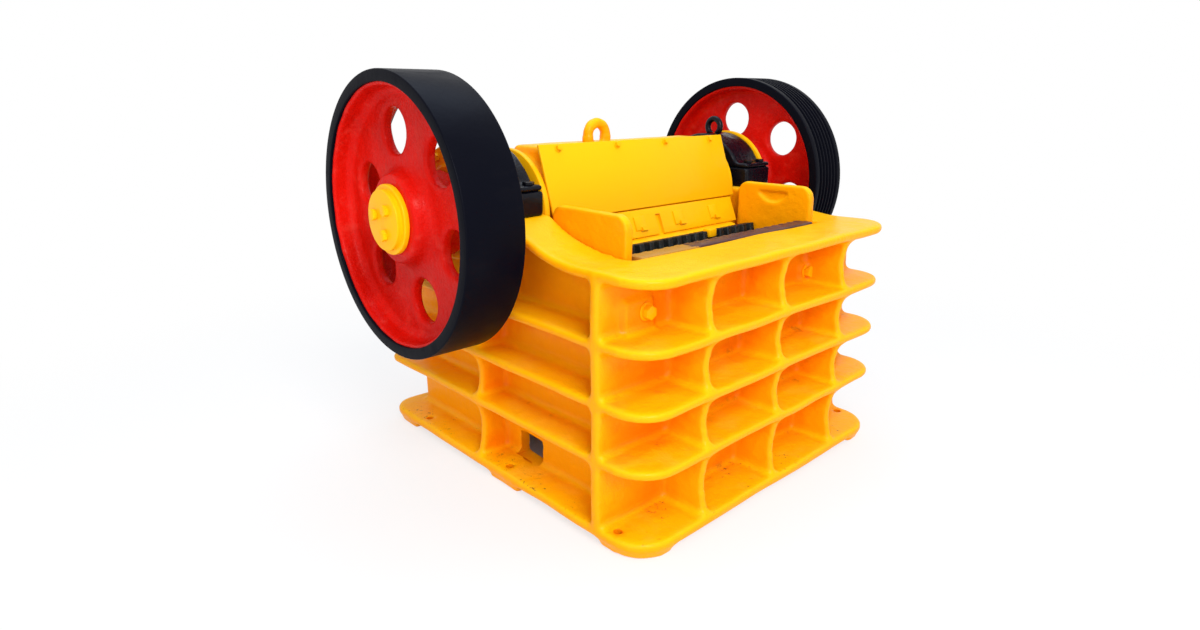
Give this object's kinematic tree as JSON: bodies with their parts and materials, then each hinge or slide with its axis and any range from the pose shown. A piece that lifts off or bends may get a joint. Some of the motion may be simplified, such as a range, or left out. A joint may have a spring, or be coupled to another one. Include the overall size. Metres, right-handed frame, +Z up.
{
  "type": "jaw crusher",
  "caption": "Jaw crusher with a ribbed cast frame, toothed fixed and swing jaws, an eccentric shaft, a plain flywheel and a grooved belt pulley.",
  "frame": {"origin": "on the ground under the middle of the frame's flanges", "axes": "+X along the shaft towards the grooved pulley, -Y towards the mouth, +Z up"},
  "size_m": [1.504, 1.155, 1.083],
  "materials": {
    "yellow_paint": "amber yellow gloss paint over rough castings",
    "red_paint": "red paint over cast wheel webs",
    "black_paint": "black gloss paint, scuffed",
    "jaw_steel": "dark manganese steel castings",
    "bare_steel": "plain machined steel, lightly oiled"
  },
  "bodies": {
    "frame": {"base_plate": "yellow_paint", "front_wall": "yellow_paint", "rear_wall": "yellow_paint", "left_wall": "yellow_paint", "right_wall": "yellow_paint", "lower_flange": "yellow_paint", "middle_flange": "yellow_paint", "upper_flange": "yellow_paint", "top_front_flange": "yellow_paint", "top_rear_flange": "yellow_paint", "left_bearing_ledge": "yellow_paint", "right_bearing_ledge": "yellow_paint", "front_rib_left": "yellow_paint", "front_rib_middle": "yellow_paint", "front_rib_right": "yellow_paint", "rear_rib_left": "yellow_paint", "rear_rib_middle": "yellow_paint", "rear_rib_right": "yellow_paint", "left_side_rib": "yellow_paint", "right_side_rib": "yellow_paint", "fixed_jaw_plate": "jaw_steel", "left_cheek_plate": "yellow_paint", "right_cheek_plate": "yellow_paint", "left_bearing_base": "black_paint", "right_bearing_base": "black_paint", "left_bearing_cap": "black_paint", "right_bearing_cap": "black_paint", "bearing_covers": "yellow_paint", "bearing_eyes": "black_paint", "toggle_beam": "yellow_paint", "toggle_plate": "bare_steel", "tension_springs": "bare_steel"},
    "shaft": {"eccentric_shaft": "bare_steel", "flywheel_rim": "black_paint", "flywheel_web": "red_paint", "pulley_rim": "black_paint", "pulley_web": "red_paint", "shaft_end_caps": "yellow_paint"},
    "jaw": {"pitman": "yellow_paint", "pitman_end_rings": "yellow_paint", "moving_jaw_plate": "jaw_steel", "guard_plate": "yellow_paint", "clamp_plate": "yellow_paint", "lifting_eye": "yellow_paint", "tension_rods": "bare_steel"}
  },
  "joints": [
    {"name": "shaft_spin", "type": "hinge", "parent": "frame", "child": "shaft", "pos_m": [0, 0.0675, 0.742], "axis": [1, 0, 0], "continuous": true},
    {"name": "jaw_swing", "type": "hinge", "parent": "shaft", "child": "jaw", "pos_m": [0, 0.0675, 0.732], "axis": [1, 0, 0], "continuous": true}
  ],
  "couplings": [
    {"joint": "jaw_swing", "follows": "shaft_spin", "ratio": -1}
  ]
}
